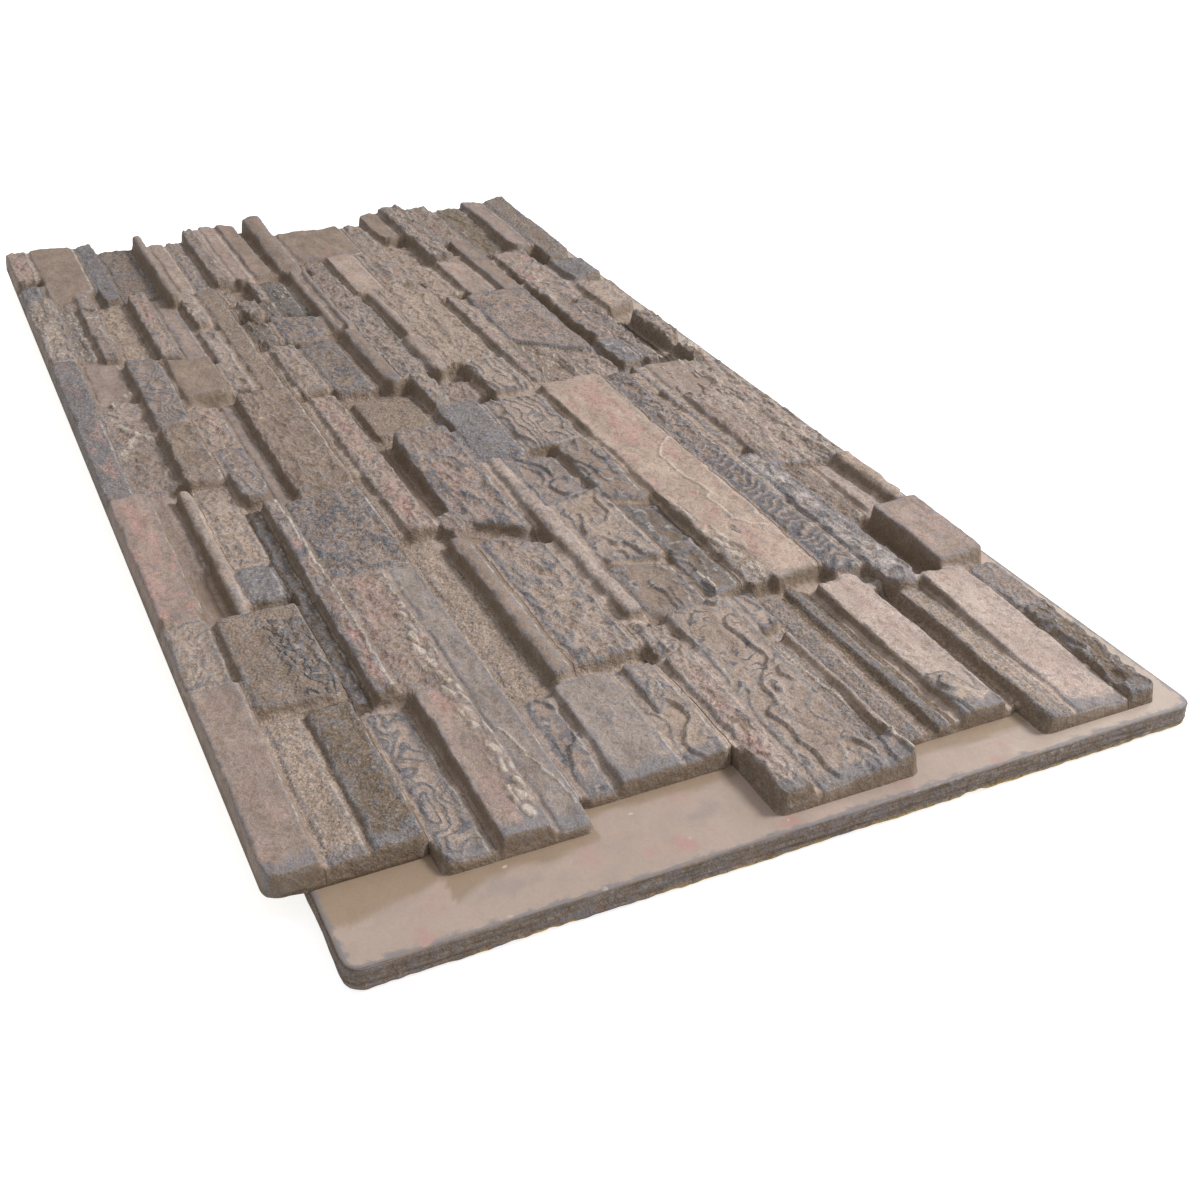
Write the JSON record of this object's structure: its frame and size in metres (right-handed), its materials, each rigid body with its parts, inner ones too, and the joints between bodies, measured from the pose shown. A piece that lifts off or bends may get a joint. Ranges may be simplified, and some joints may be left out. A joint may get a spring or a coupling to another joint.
{
  "type": "faux stone wall panel",
  "caption": "Interlocking faux stone cladding panel of rigid foam with staggered bands of ledger stone relief, an end flange and a side tongue.",
  "frame": {"origin": "centre of the bounding box on the back face, which rests on the floor", "axes": "+X along the length, towards the plain end flange; +Y across, towards the side tongue; +Z out of the moulded stone face"},
  "size_m": [1.2326, 0.6092, 0.0464],
  "materials": {
    "painted_polyurethane": "matt, painted to look like split ledger stone"
  },
  "bodies": {
    "root": {"stone_panel": "painted_polyurethane"}
  },
  "joints": []
}
